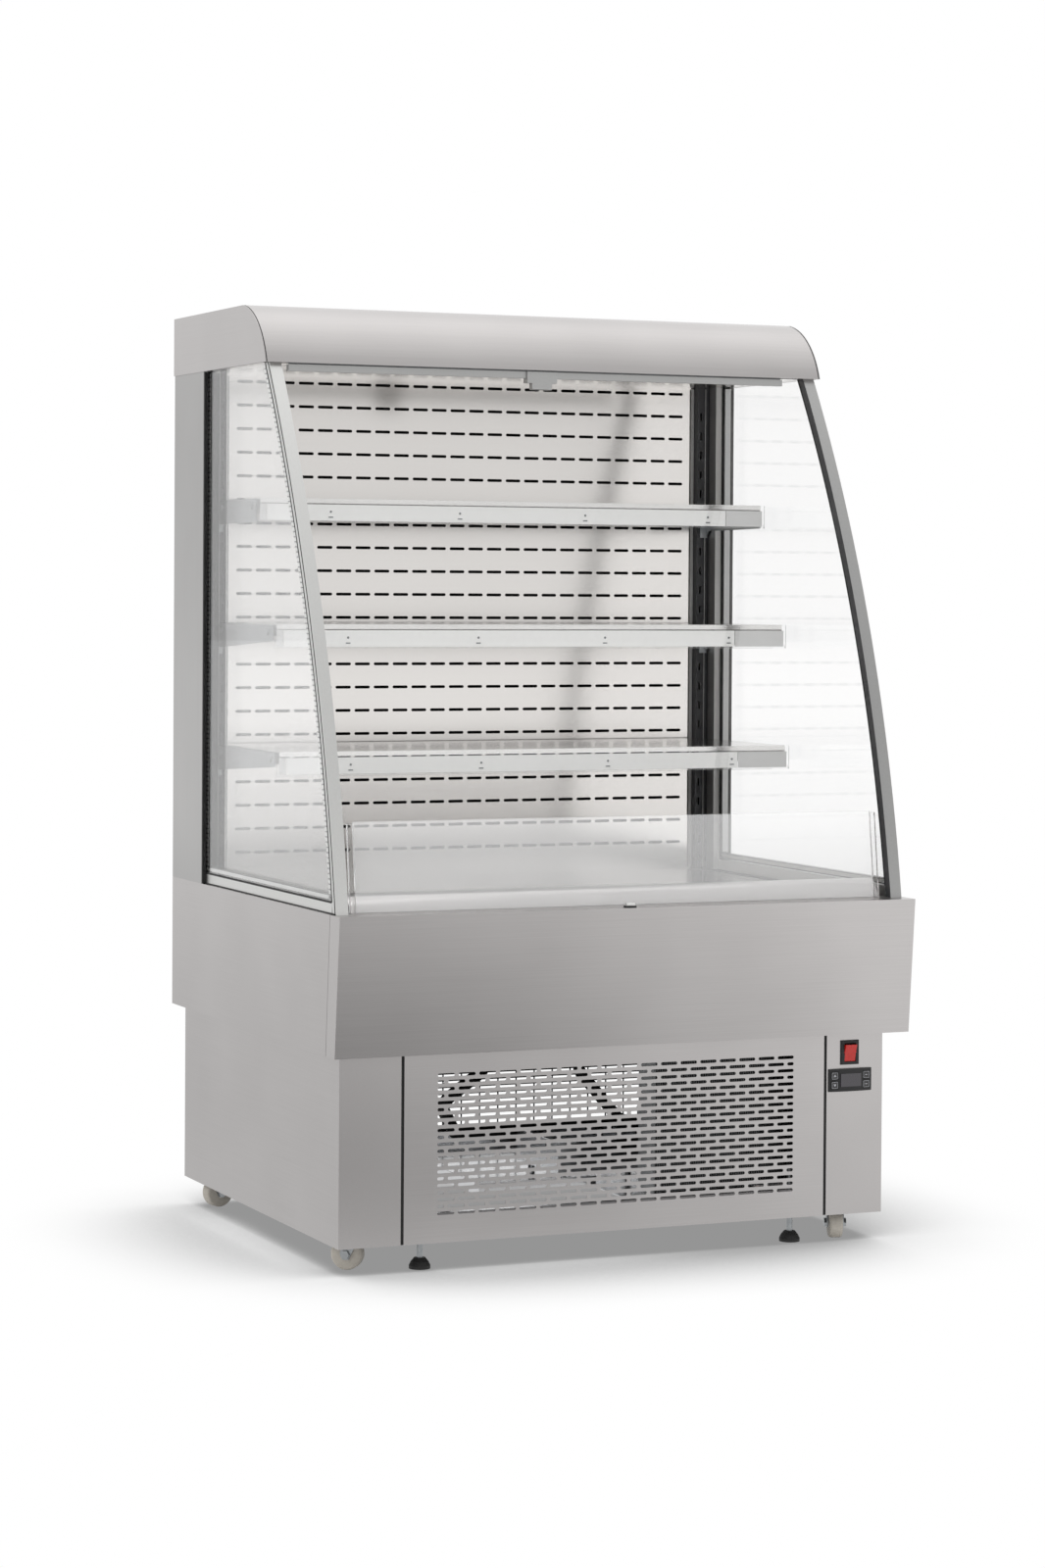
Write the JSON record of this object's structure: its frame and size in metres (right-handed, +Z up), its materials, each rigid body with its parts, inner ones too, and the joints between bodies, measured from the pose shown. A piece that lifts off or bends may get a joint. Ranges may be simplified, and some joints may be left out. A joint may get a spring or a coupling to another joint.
{
  "type": "open multideck display fridge",
  "caption": "Open-fronted stainless display fridge with curved glass sides, shelves, a pull-down night blind and castors.",
  "frame": {"origin": "on the floor under the middle of the cabinet: centre of the bounding box seen from above, floor plane under the castors and feet", "axes": "+X to the right seen from the front, -Y towards the front (customer side), +Z up"},
  "size_m": [1.004, 0.822, 1.525],
  "materials": {
    "stainless": "satin",
    "polished_stainless": "polished",
    "zinc_steel": "satin",
    "aluminium": "satin",
    "black_steel": "satin",
    "black_plastic": "matte",
    "gloss_black": "gloss",
    "red_lens": "gloss",
    "grey_tyre": "matte",
    "black_rubber": "matte",
    "glass": "clear",
    "clear_plastic": "clear",
    "film": "satin",
    "foam": "matte",
    "grey_plastic": "satin"
  },
  "bodies": {
    "cabinet": {"base_frame": "zinc_steel", "base_side_left": "stainless", "base_side_right": "stainless", "rear_guard": "black_steel", "castor_plates": "zinc_steel", "compressor": "black_steel", "condenser": "aluminium", "evaporator": "aluminium", "pipework": "black_rubber", "drip_tray": "grey_plastic", "rocker_bezel": "black_plastic", "controller": "gloss_black", "tub_side_left": "stainless", "tub_side_right": "stainless", "front_panel": "stainless", "tub_liner": "stainless", "insulation": "foam", "deck_trays": "polished_stainless", "air_return_lip": "polished_stainless", "riser_glass": "glass", "blind_catch": "black_plastic", "rear_panel": "zinc_steel", "back_panel": "stainless", "pillar_left": "stainless", "pillar_right": "stainless", "uprights": "black_steel", "side_glass_left": "glass", "side_glass_right": "glass", "front_profile_left": "aluminium", "front_profile_right": "aluminium", "bottom_profiles": "aluminium", "canopy_skin": "stainless", "canopy_ends": "stainless", "canopy_ceiling": "stainless", "blind_film": "film", "shelf_top": "polished_stainless", "shelf_middle": "polished_stainless", "shelf_bottom": "polished_stainless", "shelf_brackets": "stainless", "ticket_rails": "clear_plastic"},
    "castor_fl": {"castor_fork_fl": "zinc_steel"},
    "wheel_fl": {"castor_wheel_fl": "grey_tyre"},
    "castor_fr": {"castor_fork_fr": "zinc_steel"},
    "wheel_fr": {"castor_wheel_fr": "grey_tyre"},
    "castor_rl": {"castor_fork_rl": "zinc_steel"},
    "wheel_rl": {"castor_wheel_rl": "grey_tyre"},
    "castor_rr": {"castor_fork_rr": "zinc_steel"},
    "wheel_rr": {"castor_wheel_rr": "grey_tyre"},
    "foot_left": {"foot_left": "black_rubber"},
    "foot_right": {"foot_right": "black_rubber"},
    "condenser_fan": {"condenser_fan": "grey_plastic"},
    "evaporator_fan": {"evaporator_fan": "grey_plastic"},
    "rocker": {"rocker": "red_lens"},
    "key_up": {"key_up": "gloss_black"},
    "key_down": {"key_down": "gloss_black"},
    "key_set": {"key_set": "gloss_black"},
    "key_light": {"key_light": "gloss_black"},
    "grille_panel": {"grille_panel": "stainless"},
    "blind": {"blind_bar": "aluminium"},
    "blind_roller": {"blind_roller": "aluminium"}
  },
  "joints": [
    {"name": "castor_swivel_fl", "type": "hinge", "parent": "cabinet", "child": "castor_fl", "pos_m": [-0.418, -0.29, 0.068], "axis": [0, 0, 1], "continuous": true},
    {"name": "wheel_spin_fl", "type": "hinge", "parent": "castor_fl", "child": "wheel_fl", "pos_m": [-0.43383, -0.27778, 0.025], "axis": [-0.6112, -0.7915, 0], "continuous": true},
    {"name": "castor_swivel_fr", "type": "hinge", "parent": "cabinet", "child": "castor_fr", "pos_m": [0.418, -0.29, 0.068], "axis": [0, 0, 1], "continuous": true},
    {"name": "wheel_spin_fr", "type": "hinge", "parent": "castor_fr", "child": "wheel_fr", "pos_m": [0.41104, -0.30875, 0.025], "axis": [0.9374, -0.3482, 0], "continuous": true},
    {"name": "castor_swivel_rl", "type": "hinge", "parent": "cabinet", "child": "castor_rl", "pos_m": [-0.418, 0.348, 0.068], "axis": [0, 0, 1], "continuous": true},
    {"name": "wheel_spin_rl", "type": "hinge", "parent": "castor_rl", "child": "wheel_rl", "pos_m": [-0.43771, 0.3446, 0.025], "axis": [0.1701, -0.9854, 0], "continuous": true},
    {"name": "castor_swivel_rr", "type": "hinge", "parent": "cabinet", "child": "castor_rr", "pos_m": [0.418, 0.348, 0.068], "axis": [0, 0, 1], "continuous": true},
    {"name": "wheel_spin_rr", "type": "hinge", "parent": "castor_rr", "child": "wheel_rr", "pos_m": [0.43681, 0.3548, 0.025], "axis": [-0.3401, 0.9404, 0], "continuous": true},
    {"name": "foot_screw_left", "type": "slide", "parent": "cabinet", "child": "foot_left", "axis": [0, 0, 1], "range_m": [0, 0.012]},
    {"name": "foot_screw_right", "type": "slide", "parent": "cabinet", "child": "foot_right", "axis": [0, 0, 1], "range_m": [0, 0.012]},
    {"name": "condenser_fan_spin", "type": "hinge", "parent": "cabinet", "child": "condenser_fan", "pos_m": [0.215, -0.2143, 0.20375], "axis": [0, 1, 0], "continuous": true},
    {"name": "evaporator_fan_spin", "type": "hinge", "parent": "cabinet", "child": "evaporator_fan", "pos_m": [0, -0.138, 0.458], "axis": [0, 1, 0], "continuous": true},
    {"name": "power_rocker", "type": "hinge", "parent": "cabinet", "child": "rocker", "pos_m": [0.4147, -0.3493, 0.31], "axis": [1, 0, 0], "range_deg": [-30, 0]},
    {"name": "key_up_press", "type": "slide", "parent": "cabinet", "child": "key_up", "axis": [0, 1, 0], "range_m": [0, 0.0008], "stiffness_N_per_m": 400, "springref_m": -0.001},
    {"name": "key_down_press", "type": "slide", "parent": "cabinet", "child": "key_down", "axis": [0, 1, 0], "range_m": [0, 0.0008], "stiffness_N_per_m": 400, "springref_m": -0.001},
    {"name": "key_set_press", "type": "slide", "parent": "cabinet", "child": "key_set", "axis": [0, 1, 0], "range_m": [0, 0.0008], "stiffness_N_per_m": 400, "springref_m": -0.001},
    {"name": "key_light_press", "type": "slide", "parent": "cabinet", "child": "key_light", "axis": [0, 1, 0], "range_m": [0, 0.0008], "stiffness_N_per_m": 400, "springref_m": -0.001},
    {"name": "grille_pull_off", "type": "slide", "parent": "cabinet", "child": "grille_panel", "axis": [0, -1, 0], "range_m": [0, 0.06]},
    {"name": "blind_pull", "type": "slide", "parent": "cabinet", "child": "blind", "axis": [0, -0.4, -0.9165], "range_m": [0, 0.885], "stiffness_N_per_m": 14, "springref_m": -0.8, "deforming": ["blind_film"]},
    {"name": "blind_roller_spin", "type": "hinge", "parent": "cabinet", "child": "blind_roller", "pos_m": [-0.011, -0.027, 1.453], "axis": [1, 0, 0], "range_deg": [-5, 2900]}
  ],
  "couplings": [
    {"joint": "blind_roller_spin", "follows": "blind_pull", "rad_per_m": 55.556}
  ]
}
